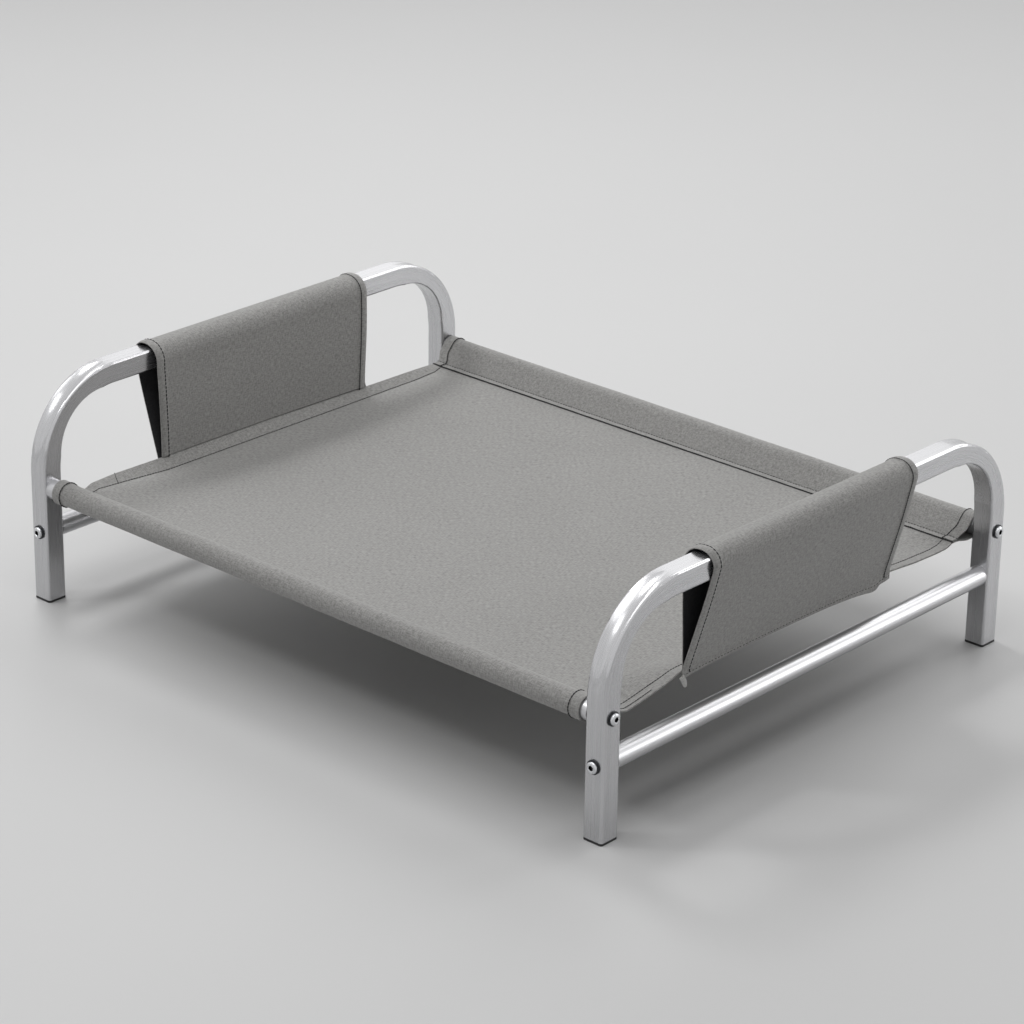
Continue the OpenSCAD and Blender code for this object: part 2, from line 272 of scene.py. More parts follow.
@dataclass(frozen=True)
class BrushedAluminium:
    """Drawn aluminium tube, finely brushed along its length and satin anodised.

    The eye gets a satin silver, with highlights that are drawn out across the brushing, very faint streaks
    and bright corner edges.
    """

    grain: Grain
    colour: str = "#CBCBCD"
    streak_colour: str = "#C0C0C2"
    streak_span: tuple[float, float] = (0.36, 0.62)
    roughness: float = 0.26
    uneven: float = 0.04
    metal_share: float = 0.92
    stretch: float = 0.2
    # Real brushing is about 0.1 mm wide; it is drawn at 0.7 mm so that it shows in the render
    streak_mm: float = 0.7
    streak_length_mm: float = 160.0
    die_line_mm: float = 5.0
    die_line_length_mm: float = 640.0
    die_line_share: float = 0.45
    relief: float = 0.05
    relief_mm: float = 0.03
    bend_y_mm: float = 245.5
    bend_z_mm: float = 168.5

    def across(self, tree: NodeTree) -> tuple[object, object, object, object]:
        """Finds the two coordinates across the tube, the one along it and the way that the brushing runs.

        Args:
            tree: Tree that gets the nodes.

        Returns:
            Output sockets of the two coordinates across and of the one along, in metres, and the brushing's
            direction as a socket or a plain vector.
        """
        place = add_node(tree, "ShaderNodeTexCoord")["Object"]
        x, y, z = add_node(tree, "ShaderNodeSeparateXYZ", {0: place})[:3]
        if self.grain is Grain.ALONG_X:
            return y, z, x, (1, 0, 0)
        if self.grain is Grain.ALONG_Y:
            return x, z, y, (0, 1, 0)
        flat = add_node(tree, "ShaderNodeMath", {0: y}, operation="ABSOLUTE")[0]
        legs = []
        for value, corner in ((flat, self.bend_y_mm), (z, self.bend_z_mm)):
            off = add_node(tree, "ShaderNodeMath", {0: value, 1: corner * MM}, operation="SUBTRACT")[0]
            legs.append(add_node(tree, "ShaderNodeMath", {0: off, 1: 0.0}, operation="MAXIMUM")[0])
        pair = add_node(tree, "ShaderNodeCombineXYZ", {0: legs[0], 1: legs[1]})[0]
        out = add_node(tree, "ShaderNodeVectorMath", {0: pair}, operation="LENGTH")["Value"]
        along = add_node(tree, "ShaderNodeMath", {0: flat, 1: z}, operation="SUBTRACT")[0]
        # Round a bend the brushing turns with the tube, square to the line from the bend's centre
        half = add_node(tree, "ShaderNodeMath", {0: y}, operation="SIGN")[0]
        wide = add_node(tree, "ShaderNodeMath", {0: legs[0], 1: half}, operation="MULTIPLY")[0]
        down = add_node(tree, "ShaderNodeMath", {0: legs[1], 1: -1.0}, operation="MULTIPLY")[0]
        turned = add_node(tree, "ShaderNodeCombineXYZ", {1: down, 2: wide})[0]
        grain = add_node(tree, "ShaderNodeVectorMath", {0: turned}, operation="NORMALIZE")[0]
        return x, out, along, grain

    def material(self) -> Material:
        """Builds the material."""
        material, tree, surface = new_material(f"brushed_aluminium_{self.grain.value}")
        a, b, along, grain = self.across(tree)
        vector = add_node(tree, "ShaderNodeCombineXYZ", {0: a, 1: b, 2: along})[0]
        layers = []
        for width, length in (
            (self.streak_mm, self.streak_length_mm),
            (self.die_line_mm, self.die_line_length_mm),
        ):
            scale = Vector((1 / width, 1 / width, 1 / length)) / MM
            mapped = add_node(tree, "ShaderNodeMapping", {"Vector": vector, "Scale": scale})[0]
            layers.append(add_node(tree, "ShaderNodeTexNoise", {"Vector": mapped, "Scale": 1.0})[0])
        streaks = add_node(
            tree, "ShaderNodeMix", {"Factor": self.die_line_share, "A": layers[0], "B": layers[1]}
        )[0]
        stops = tuple(zip(self.streak_span, (self.streak_colour, self.colour)))
        tone = add_node(tree, "ShaderNodeValToRGB", {0: streaks}, stops)[0]
        ends = self.roughness + self.uneven, self.roughness - self.uneven
        rough = add_node(tree, "ShaderNodeMapRange", dict(enumerate((streaks, *NOISE_RANGE, *ends))))[0]
        relief = {"Strength": self.relief, "Distance": self.relief_mm * MM, "Height": streaks}
        bump = add_node(tree, "ShaderNodeBump", relief)[0]
        face = add_node(tree, "ShaderNodeTexCoord")["Normal"]
        spread = add_node(tree, "ShaderNodeVectorMath", {0: face, 1: grain}, operation="CROSS_PRODUCT")[0]
        feed(tree, surface, {
            "Base Color": tone, "Metallic": self.metal_share, "Roughness": rough, "Normal": bump,
            "Anisotropic": self.stretch, "Tangent": spread,
        })
        return material


@dataclass(frozen=True)
class ZincSteel:
    """Machined steel with bright zinc plating: sharp small highlights, a little cloudy from handling."""

    name: str = "zinc_plated_steel"
    colour: str = "#DDDEE0"
    cloud_colour: str = "#C6C8CB"
    roughness: float = 0.2
    cloud_roughness: float = 0.1
    cloud_mm: float = 3.0
    cloud_detail: float = 3.0
    cloud_span: tuple[float, float] = (0.35, 0.65)

    def material(self) -> Material:
        """Builds the material."""
        material, tree, surface = new_material(self.name)
        place = add_node(tree, "ShaderNodeTexCoord")["Object"]
        grain = {"Vector": place, "Scale": 1 / (self.cloud_mm * MM), "Detail": self.cloud_detail}
        cloud = add_node(tree, "ShaderNodeTexNoise", grain)[0]
        stops = tuple(zip(self.cloud_span, (self.cloud_colour, self.colour)))
        tone = add_node(tree, "ShaderNodeValToRGB", {0: cloud}, stops)[0]
        cloudy = self.roughness + self.cloud_roughness
        rough = add_node(
            tree, "ShaderNodeMapRange", dict(enumerate((cloud, *NOISE_RANGE, cloudy, self.roughness)))
        )[0]
        feed(tree, surface, {"Base Color": tone, "Metallic": 1.0, "Roughness": rough})
        return material


@dataclass(frozen=True)
class MouldedPolythene:
    """Injection-moulded black polythene: dull, with the mould's fine spark grain."""

    colour: str = "#141415"
    worn_colour: str = "#232324"
    grain_mm: float = 0.5
    relief: float = 0.4
    relief_mm: float = 0.05
    roughness: float = 0.55
    ior: float = 1.51

    def material(self) -> Material:
        """Builds the material."""
        material, tree, surface = new_material("black_polythene")
        place = add_node(tree, "ShaderNodeTexCoord")["Object"]
        grain = add_node(
            tree, "ShaderNodeTexNoise", {"Vector": place, "Scale": 1 / (self.grain_mm * MM)}
        )[0]
        stops = ((0.0, self.colour), (1.0, self.worn_colour))
        tone = add_node(tree, "ShaderNodeValToRGB", {0: grain}, stops)[0]
        relief = {"Strength": self.relief, "Distance": self.relief_mm * MM, "Height": grain}
        bump = add_node(tree, "ShaderNodeBump", relief)[0]
        feed(tree, surface, {"Base Color": tone, "Normal": bump})
        feed(tree, surface, {"Roughness": self.roughness, "IOR": self.ior})
        return material


@dataclass(frozen=True)
class HeatheredCanvas:
    """Plain-woven polyester canvas of mixed light and dark grey yarn.

    The eye gets a matt mid-grey with fine flecks that run with the threads both ways, and a faint sheen.
    """

    name: str = "heathered_grey_canvas"
    dark: str = "#7C7B79"
    light: str = "#AEADAB"
    # Real yarn lies about 0.6 mm apart; it is drawn at 1.2 mm so that the weave shows in the render
    thread_mm: float = 1.2
    fleck_mm: float = 6.0
    patch_mm: float = 90.0
    patch_share: float = 0.12
    tone_span: tuple[float, float] = (0.66, 1.46)
    fleck_relief: float = 0.8
    relief: float = 0.5
    relief_mm: float = 0.12
    roughness: float = 0.86
    gloss: float = 0.25
    sheen: float = 0.3
    sheen_roughness: float = 0.5

    def material(self) -> Material:
        """Builds the material."""
        material, tree, surface = new_material(self.name)
        place = add_node(tree, "ShaderNodeUVMap", uv_map=CLOTH_UV)[0]
        flecks, threads = [], []
        for across, axis in ((0, "X"), (1, "Y")):
            scale = [1 / (self.fleck_mm * MM)] * 3
            scale[across] = 1 / (self.thread_mm * MM)
            mapped = add_node(tree, "ShaderNodeMapping", {"Vector": place, "Scale": scale})[0]
            fleck = {"Vector": mapped, "Scale": 1.0, "Detail": 1.0}
            flecks.append(add_node(tree, "ShaderNodeTexNoise", fleck)[0])
            wave = {"Vector": place, "Scale": WAVE_LENGTH / (self.thread_mm * MM)}
            threads.append(add_node(tree, "ShaderNodeTexWave", wave, bands_direction=axis)["Fac"])
        wide = {"Vector": place, "Scale": 1 / (self.patch_mm * MM), "Detail": 1.0}
        patch = add_node(tree, "ShaderNodeTexNoise", wide)[0]
        heather = add_node(tree, "ShaderNodeMath", {0: flecks[0], 1: flecks[1]}, operation="ADD")[0]
        toned = add_node(
            tree, "ShaderNodeMath", {0: patch, 1: self.patch_share, 2: heather}, operation="MULTIPLY_ADD"
        )[0]
        share = add_node(tree, "ShaderNodeMapRange", dict(enumerate((toned, *self.tone_span))))[0]
        stops = ((0.0, self.dark), (1.0, self.light))
        weave = add_node(tree, "ShaderNodeMath", {0: threads[0], 1: threads[1]}, operation="MULTIPLY")[0]
        height = add_node(
            tree, "ShaderNodeMath", {0: heather, 1: self.fleck_relief, 2: weave}, operation="MULTIPLY_ADD"
        )[0]
        relief = {"Strength": self.relief, "Distance": self.relief_mm * MM, "Height": height}
        feed(tree, surface, {
            "Base Color": add_node(tree, "ShaderNodeValToRGB", {0: share}, stops)[0],
            "Normal": add_node(tree, "ShaderNodeBump", relief)[0],
            "Roughness": self.roughness, "Specular IOR Level": self.gloss,
            "Sheen Weight": self.sheen, "Sheen Roughness": self.sheen_roughness,
        })
        return material


@dataclass(frozen=True)
class SewingThread:
    """Bonded polyester thread, near black, with a slight gloss on its twist. The same finish draws the dark
    lines that paint the shade under the laps and in the hem grooves.
    """

    colour: str = "#151516"
    twist_mm: float = 0.9
    roughness: tuple[float, float] = (0.5, 0.75)

    def material(self) -> Material:
        """Builds the material."""
        material, tree, surface = new_material("thread_and_painted_shadow_line")
        place = add_node(tree, "ShaderNodeTexCoord")["Object"]
        twist = add_node(
            tree, "ShaderNodeTexNoise", {"Vector": place, "Scale": 1 / (self.twist_mm * MM)}
        )[0]
        glossy, dull = self.roughness
        rough = add_node(tree, "ShaderNodeMapRange", {0: twist, 3: glossy, 4: dull})[0]
        feed(tree, surface, {"Base Color": linear(self.colour), "Roughness": rough})
        return material


@dataclass(frozen=True)
class StudioFloor:
    """Painted studio floor: an even pale grey with a weak, wide gloss."""

    colour: str = "#D4D4D4"
    patch_colour: str = "#D0D0D0"
    patch_m: float = 0.8
    roughness: float = 0.42
    gloss: float = 0.3

    def material(self) -> Material:
        """Builds the material."""
        material, tree, surface = new_material("painted_studio_floor")
        place = add_node(tree, "ShaderNodeTexCoord")["Object"]
        patch = add_node(tree, "ShaderNodeTexNoise", {"Vector": place, "Scale": 1 / self.patch_m})[0]
        stops = ((0.0, self.patch_colour), (1.0, self.colour))
        tone = add_node(tree, "ShaderNodeValToRGB", {0: patch}, stops)[0]
        looks = {"Base Color": tone, "Roughness": self.roughness, "Specular IOR Level": self.gloss}
        feed(tree, surface, looks)
        return material


@dataclass
class ThickSheet:
    """Cloth with its true thickness, as two grids of points and a rim.

    Attributes:
        name: Name of the piece.
        near: Points of the face towards the metal, rows along the first direction, in millimetres.
        far: Points of the other face.
        flat: Place of each point on the flat cloth, in millimetres.
    """

    name: str
    near: np.ndarray
    far: np.ndarray
    flat: np.ndarray
    sharp_from: float = 50.0

    def build(self, face: Material, back: Material) -> Object:
        """Makes the mesh and its object.

        Args:
            face: Finish of the far face and of the rim.
            back: Finish of the near face.

        Returns:
            The cloth, at the origin.
        """
        rows, cols = self.near.shape[:2]
        total = rows * cols
        index = np.arange(total).reshape(rows, cols)
        quads = np.stack([index[:-1, :-1], index[1:, :-1], index[1:, 1:], index[:-1, 1:]], -1).reshape(-1, 4)
        border = np.concatenate([index[0, :-1], index[:-1, -1], index[-1, :0:-1], index[:0:-1, 0]])
        following = np.roll(border, -1)
        rim = np.stack([border, following, following + total, border + total], -1)
        faces = np.concatenate([quads, quads[:, ::-1] + total, rim])
        points = np.concatenate([self.near.reshape(-1, 3), self.far.reshape(-1, 3)]) * MM
        mesh = bpy.data.meshes.new(self.name)
        mesh.from_pydata(points.tolist(), [], faces.tolist())
        mesh.materials.append(face)
        mesh.materials.append(back)
        flat = np.tile(self.flat.reshape(-1, 2), (2, 1)) * MM
        layer = mesh.uv_layers.new(name=CLOTH_UV)
        layer.data.foreach_set("uv", flat[faces.ravel()].astype(np.float32).ravel())
        work = bmesh.new()
        work.from_mesh(mesh)
        bmesh.ops.recalc_face_normals(work, faces=work.faces)
        work.to_mesh(mesh)
        work.free()
        slots = np.zeros(len(faces), np.int32)
        slots[: len(quads)] = 1
        shade_smooth(mesh, slots, self.sharp_from)
        return show(self.name, mesh)


@dataclass
class StitchRow:
    """One row of stitches: the points on the cloth that it follows, in millimetres, and its kind."""

    points: np.ndarray
    stitch: Stitch


class StitchTree:
    """Geometry Nodes tree that sets stitches along the edges of a mesh."""

    INPUTS = ("Pitch", "Length", "Radius", "Seed")
    BEAD = {"Segments": 6, "Rings": 4, "Radius": 1.0}
    SHORTEST, LONGEST = 0.9, 1.06

    def __init__(self, thread: Material) -> None:
        """Builds the tree.

        Args:
            thread: Finish of the stitches.
        """
        tree = bpy.data.node_groups.new("stitches", "GeometryNodeTree")
        tree.interface.new_socket("Geometry", in_out="INPUT", socket_type="NodeSocketGeometry")
        self.sockets: dict[str, str] = {}
        for name in self.INPUTS:
            kind = "NodeSocketInt" if name == "Seed" else "NodeSocketFloat"
            self.sockets[name] = tree.interface.new_socket(name, in_out="INPUT", socket_type=kind).identifier
        tree.interface.new_socket("Geometry", in_out="OUTPUT", socket_type="NodeSocketGeometry")
        given = add_node(tree, "NodeGroupInput")
        curve = add_node(tree, "GeometryNodeMeshToCurve", {0: given["Geometry"]})[0]
        spaced = add_node(
            tree, "GeometryNodeResampleCurve", {"Curve": curve, "Length": given["Pitch"]}, mode="LENGTH"
        )[0]
        points = add_node(tree, "GeometryNodeCurveToPoints", {"Curve": spaced}, mode="EVALUATED")
        turn = add_node(
            tree, "FunctionNodeAlignRotationToVector", {"Vector": points["Tangent"]}, axis="Z"
        )[0]
        bead = add_node(tree, "GeometryNodeMeshUVSphere", self.BEAD)["Mesh"]
        half = add_node(tree, "ShaderNodeMath", {0: given["Length"], 1: 0.5}, operation="MULTIPLY")[0]
        draw = {2: self.SHORTEST, 3: self.LONGEST, "Seed": given["Seed"]}
        vary = add_node(tree, "FunctionNodeRandomValue", draw, data_type="FLOAT")[1]
        longer = add_node(tree, "ShaderNodeMath", {0: half, 1: vary}, operation="MULTIPLY")[0]
        size = add_node(
            tree, "ShaderNodeCombineXYZ", {0: given["Radius"], 1: given["Radius"], 2: longer}
        )[0]
        set_out = add_node(
            tree,
            "GeometryNodeInstanceOnPoints",
            {"Points": points["Points"], "Instance": bead, "Rotation": turn, "Scale": size},
        )[0]
        real = add_node(tree, "GeometryNodeRealizeInstances", {0: set_out})[0]
        even = add_node(tree, "GeometryNodeSetShadeSmooth", {0: real})[0]
        sewn = add_node(tree, "GeometryNodeSetMaterial", {"Geometry": even, "Material": thread})[0]
        add_node(tree, "NodeGroupOutput", {0: sewn})
        self.tree = tree
        self.thread = thread

    def sew(self, name: str, rows: list[StitchRow]) -> Object:
        """Sews rows of stitches into one plain mesh.

        Args:
            name: Name of the piece.
            rows: The rows, of any kinds.

        Returns:
            The thread, at the origin.
        """
        joined = bmesh.new()
        for seed, row in enumerate(rows):
            line = bpy.data.meshes.new("stitch_line")
            edges = [(i, i + 1) for i in range(len(row.points) - 1)]
            line.from_pydata((row.points * MM).tolist(), edges, [])
            guide = show("stitch_line", line)
            modifier = guide.modifiers.new("stitches", "NODES")
            modifier.node_group = self.tree
            sizes = [size * MM for size in row.stitch.value]
            for key, value in zip(self.INPUTS, (*sizes, seed)):
                modifier[self.sockets[key]] = value
            evaluated = guide.evaluated_get(bpy.context.evaluated_depsgraph_get())
            sewn = bpy.data.meshes.new_from_object(evaluated)
            guide.modifiers.clear()
            joined.from_mesh(sewn)
            bpy.data.objects.remove(guide)
            bpy.data.meshes.remove(sewn)
        mesh = bpy.data.meshes.new(name)
        joined.to_mesh(mesh)
        joined.free()
        mesh.materials.clear()
        mesh.materials.append(self.thread)
        mesh.polygons.foreach_set("use_smooth", np.ones(len(mesh.polygons), bool))
        return show(name, mesh)


@dataclass(frozen=True)
class SocketBolt:
    """A button-head bolt with a hex socket, which stands for one packed bolt. Lengths are in millimetres.

    Attributes:
        node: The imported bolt's name.
        place: Middle of the head's underside.
        axis: The way that the head faces.
        turn: How far the socket is turned, in degrees.
    """

    node: str
    place: Vector
    axis: Vector
    turn: float
    head_r: float = 7.0
    head_h: float = 3.6
    socket_flats: float = 5.8
    socket_depth: float = 2.4
    shank_r: float = 4.0
    shank: float = 49.0
    spans: int = 48
    sharp_from: float = 35.0

    def loops(self) -> list[tuple[float, float, bool]]:
        """Outline from the shank's tip to the socket's floor: half widths, heights and if it is a hexagon."""
        top, r, flat = self.head_h, self.head_r, self.socket_flats / 2
        return [
            (self.shank_r - 0.5, -self.shank, False),
            (self.shank_r, 1 - self.shank, False),
            (self.shank_r, 0, False),
            (r - 0.3, 0, False),
            (r, 0.3, False),
            (r, top - 1.7, False),
            (r - 0.3, top - 0.9, False),
            (r - 1.0, top - 0.35, False),
            (r - 2.2, top - 0.05, False),
            (r - 2.9, top, False),
            (flat + 0.25, top, True),
            (flat, top - 0.3, True),
            (flat, top - self.socket_depth, True),
        ]

    def build(self, steel: Material, shaded: Material) -> None:
        """Args:
            steel: Its finish.
            shaded: Finish of the socket, a near black that paints the shade in the recess.
        """
        angles = np.linspace(0, 2 * math.pi, self.spans, endpoint=False)
        sixth = math.pi / 3
        to_hexagon = 1 / np.cos((angles + sixth / 2) % sixth - sixth / 2)
        loops = self.loops()
        rings = []
        for half, height, hexagon in loops:
            reach = half * (to_hexagon if hexagon else np.ones(self.spans))
            ring = [reach * np.cos(angles), reach * np.sin(angles), np.full(self.spans, height)]
            rings.append(np.stack(ring, -1))
        ends = np.array([[0, 0, loops[0][1]], [0, 0, loops[-1][1]]])
        points = np.concatenate([*rings, ends])
        here = np.arange(self.spans)
        following = np.roll(here, -1)
        faces = []
        for low in range(0, (len(loops) - 1) * self.spans, self.spans):
            high = low + self.spans
            faces += np.stack([here + low, following + low, following + high, here + high], -1).tolist()
        # Number of faces between the rings, and also of the last ring's first point
        last = (len(loops) - 1) * self.spans
        tip, floor = len(points) - 2, len(points) - 1
        faces += [[tip, b, a] for a, b in zip(here.tolist(), following.tolist())]
        faces += [[floor, a, b] for a, b in zip((here + last).tolist(), (following + last).tolist())]
        turn = Vector((0, 0, 1)).rotation_difference(self.axis).to_matrix()
        turn = turn @ Matrix.Rotation(math.radians(self.turn), 3, "Z")
        placed = (points @ np.array(turn).T + np.array(self.place)) * MM
        mesh = bpy.data.meshes.new(self.node)
        mesh.from_pydata(placed.tolist(), [], faces)
        mesh.materials.append(steel)
        mesh.materials.append(shaded)
        # The socket's wall and floor get the second finish, a near black that paints the shade in the recess
        slots = np.zeros(len(faces), np.int32)
        slots[last - self.spans : last] = 1
        slots[-self.spans :] = 1
        shade_smooth(mesh, slots, self.sharp_from)
        piece = show(f"{self.node}_shown", mesh)
        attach(piece, BODY)
        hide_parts(self.node)


@dataclass
class CotFrame:
    """The metal and plastic pieces: solids as packed, and the bolts. Lengths are in millimetres."""

    leg_x: float = 447.5
    leg_y: float = 347.5
    half_tube: float = 13.5
    washer: float = 1.6
    rail_z: float = 148.0
    crossbar_z: float = 91.0
    round_tube_roughness: float = 0.34
    socket_step: float = 11.0

    # Kind of finish by the ending of a node's name
    KINDS = {
        "_end_hoop": "hoop", "_side_rail": "rail", "_rail_plug": "rail", "_crossbar": "crossbar",
        "_crossbar_plug": "crossbar", "_foot_cap": "cap", "_washer": "washer", "_bolt": "bolt",
    }

    def finishes(self) -> dict[str, Material]:
        """Makes the finishes of the rigid pieces, by kind of piece."""
        rough = self.round_tube_roughness
        return {
            "hoop": BrushedAluminium(Grain.ALONG_HOOP).material(),
            "rail": BrushedAluminium(Grain.ALONG_X, roughness=rough).material(),
            "crossbar": BrushedAluminium(Grain.ALONG_Y, roughness=rough).material(),
            "bolt": ZincSteel().material(),
            # The washers are darkened, so their colour paints the shade ring round each bolt head
            "washer": ZincSteel("washer_steel_painted_shade", "#4A4B4D", "#3A3B3D", 0.4).material(),
            # The socket's finish is a near black that paints the shade inside the recess
            "socket": ZincSteel("socket_painted_shade", "#1C1C1D", "#121213", 0.5).material(),
            "cap": MouldedPolythene().material(),
        }

    def bolts(self) -> list[SocketBolt]:
        """Lists the eight bolts, each with its head's underside on its washer."""
        listed = []
        outside = self.half_tube + self.washer
        for end, sx in (("left", -1), ("right", 1)):
            for row, sy in (("front", -1), ("back", 1)):
                leg = Vector((sx * self.leg_x, sy * self.leg_y, 0))
                for kind, axis, z in (
                    ("rail", Vector((sx, 0, 0)), self.rail_z),
                    ("crossbar", Vector((0, sy, 0)), self.crossbar_z),
                ):
                    place = leg + axis * outside + Vector((0, 0, z))
                    turn = self.socket_step * len(listed)
                    listed.append(SocketBolt(f"{row}_{end}_{kind}_bolt", place, axis, turn))
        return listed

    def dress(self, nodes: dict[str, Object], skip: tuple[str, ...]) -> None:
        """Gives every rigid node its finish and sets the bolts.

        Args:
            nodes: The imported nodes.
            skip: Names of the cloth nodes, which other pieces stand for.
        """
        finishes = self.finishes()
        for name, node in nodes.items():
            if name in skip:
                continue
            kind = next(kind for ending, kind in self.KINDS.items() if name.endswith(ending))
            node.data.materials.clear()
            node.data.materials.append(finishes[kind])
            LOG.info("dressed %s", name)
        for bolt in self.bolts():
            bolt.build(finishes["bolt"], finishes["socket"])


@dataclass
class BedSling:
    """The bed: one sheet that is folded round both side rails and sewn back on itself.

    Lengths are in millimetres. The near face is the top of the bed and the inside of the sleeves.
    """

    rail_y: float = 347.5
    rail_z: float = 148.0
    sleeve_r: float = 13.0
    half_length: float = 425.0
    seam_y: float = 308.5
    lap: float = 10.0
    lap_gap: float = 0.2
    cloth: float = 1.0
    hem: float = 14.5
    hem_step: float = 0.8
    sag: float = 9.0
    ease: float = 46.0
    back_flare: float = 6.5
    front_draw: float = 5.0
    end_ease: float = 70.0
    lap_ease: float = 12.0
    drawn_in: float = 4.0
    drawn_width: float = 9.0
    pucker: float = 0.16
    slack: float = 0.22
    ripple: float = 0.25
    fold_y: float = -258.0
    fold_slant: float = 7.0
    turned_in: float = 5.0
    turned_points: int = 12
    sewn_in: float = 0.5
    proud: float = 0.25
    lip_out: float = 0.35
    lip_proud: float = 0.45
    lap_proud: float = 0.2
    fold_proud: float = 0.3
    loop_spans: int = 40
    lap_spans: int = 7
    sleeve_spans: int = 9
    bed_spans: int = 96

    # Places across the bed, with heights of a short edge and of its hem's stitches against the sleeves
    HEMS = {
        Side.RIGHT: (
            (-308.5, 0, 0), (-301, -5, -4), (-292, -10, -8.5), (-282, -13, -12), (-274, -12, -12.5),
            (-253, -9, -9.5), (-232, -5.5, -6), (-208, -1, -2.5), (-198, 3, -0.5), (-189, 3.5, 0.5),
            (0, 2, -1), (180, 3, 0), (190, 2, -1), (235, -2.3, -4.3), (280, -4, -6), (299, -3.5, -4.7),
            (308.5, 0, 0),
        ),
        Side.LEFT: (
            (-308.5, 2.5, 1.5), (-296, 7.5, 4), (-262, 9, 1.5), (-194, 8, -3.5), (-184, 8, -4.3),
            (0, 7.5, -5.2), (181, 4, -5.2), (194, 3.5, -5.2), (262, 2.5, -5.5), (296, 1.5, -4),
            (308.5, 0.5, 0),
        ),
    }

    @property
    def level(self) -> float:
        """Height of the bed's top face at the sleeves."""
        return self.rail_z - self.sleeve_r

    def section(self) -> tuple[np.ndarray, int, int]:
        """Draws the near face across the bed, from the front sleeve's lip to the back one's.

        Returns:
            The path in Y and Z, and the numbers of the first and last points of the bed itself.
        """
        axis = (-self.rail_y, self.rail_z)
        lip_z = self.level + self.lap_gap
        lap_end = (-self.seam_y - self.lap, lip_z)
        loop = arc(axis, self.sleeve_r, touch_angle(axis, self.sleeve_r, lap_end), 270, self.loop_spans)
        lap = run((-self.seam_y, lip_z), lap_end, self.lap_spans)
        front = np.concatenate([lap, run(lap_end, tuple(loop[0]), self.sleeve_spans), loop])
        under = run((-self.rail_y, self.level), (-self.seam_y, self.level), self.sleeve_spans)[1:]
        bed = run((-self.seam_y, self.level), (self.seam_y, self.level), self.bed_spans)
        first = len(front) + len(under)
        mirror = [-1, 1]
        bed_end = [[self.seam_y, self.level]]
        path = np.concatenate([front, under, bed, bed_end, under[::-1] * mirror, front[::-1] * mirror])
        return path, first, first + len(bed)

    def stations(self) -> np.ndarray:
        """Places along X at which the section is set, close together at the hems."""
        edge = self.half_length - np.array([0, 0.4, 2, 5, 8, 11])
        inner = self.half_length - self.hem
        step = inner + np.array([1, 0.5, 0, -0.5])
        half = np.concatenate([edge, step, np.linspace(inner - 2, 0, 56)])
        return np.concatenate([-half, half[-2::-1]])

    def hem_heights(self, x: np.ndarray, y: np.ndarray) -> tuple[np.ndarray, np.ndarray]:
        """How high the short edges lie against the sleeves' level.

        The wraps hold these edges up. Between a wrap and a sleeve the edge is free: it hangs at the right,
        most of all in front, and stands up a little at the left.

        Args:
            x: Places along the rails, of which the sign is used.
            y: Places across the bed.

        Returns:
            Heights of the edge itself and of the hem's stitches.
        """
        by_side = {}
        for side, hem in self.HEMS.items():
            places, edge, sewn = np.array(hem).T
            by_side[side] = np.interp(y, places, edge), np.interp(y, places, sewn)
        pairs = zip(by_side[Side.RIGHT], by_side[Side.LEFT])
        at_edge, at_stitches = (np.where(x > 0, right, left) for right, left in pairs)
        return at_edge, at_stitches

    def drop(self, x: np.ndarray, y: np.ndarray) -> np.ndarray:
        """How far the bed hangs below its level.

        Args:
            x: Places along the rails.
            y: Places across the bed.

        Returns:
            The drop at each place.
        """
        inward = self.half_length - np.abs(x)
        edge, sewn = self.hem_heights(x, y)
        hem = edge + (sewn - edge) * np.clip(inward / self.hem, 0, 1)
        open_bed = -self.sag * np.clip(1 - (y / self.seam_y) ** 2, 0, 1)
        share = smooth((inward - self.hem) / self.ease)
        return -(hem + (open_bed - hem) * share)

    def surfaces(self) -> tuple[np.ndarray, np.ndarray, np.ndarray]:
        """Sets the section along the rails.

        Returns:
            Points of the near face, points of the far face and their places on the flat cloth.
        """
        path, first, last = self.section()
        xs = self.stations()
        normal = -left_normals(path)
        y, z = path[:, 0], path[:, 1]
        # The back sleeve's ends reach past the bed's edges; the front one's left end falls short of them
        lap_end = self.seam_y + self.lap
        flare = self.back_flare * smooth((y - lap_end) / self.lap_ease)
        draw = self.front_draw * smooth((-y - lap_end) / self.lap_ease)
        toward_end = np.sign(xs) * smooth((np.abs(xs) - self.half_length) / self.end_ease + 1)
        x = xs[:, None] + toward_end[:, None] * flare - np.minimum(toward_end, 0)[:, None] * draw
        bed = np.zeros(len(path))
        bed[first : last + 1] = 1.0
        drop = self.drop(x, np.broadcast_to(y, x.shape)) * bed
        along = distance_along(path)
        # Thread draws the cloth into small puckers at a seam; elsewhere the sleeve is a little slack
        off_seam = (np.abs(y) - self.seam_y - self.drawn_in) / self.drawn_width
        near_seam = np.exp(-(off_seam**2)) * (1 - bed)
        puckers = self.pucker * (np.sin(x / 4.1 + 0.7) + np.sin(x / 6.7 + y * 0.01) + np.sin(x / 2.9 + 2.0))
        sleeve = (1 - bed) * np.clip(1 - near_seam, 0, 1)
        slack = self.slack * sleeve * (1 + np.sin(x / 37 + along / 16) * np.sin(x / 61 + 1.3))
        out = slack + near_seam * np.clip(puckers, 0, 1)
        ripples = self.ripple * bed * np.sin(x / 71 + y / 113) * np.sin(y / 59 - x / 170)
        in_hem = smooth((np.abs(xs) - self.half_length + self.hem) / self.hem_step + 0.5)
        thick = self.cloth * (1 + in_hem)[:, None]
        near = np.stack([x, y + normal[:, 0] * out, z + normal[:, 1] * out - drop + ripples], -1)
        far = near + np.stack([0 * x, normal[:, 0] * thick, normal[:, 1] * thick], -1)
        flat = np.stack([x, np.broadcast_to(along, x.shape)], -1)
        return near, far, flat

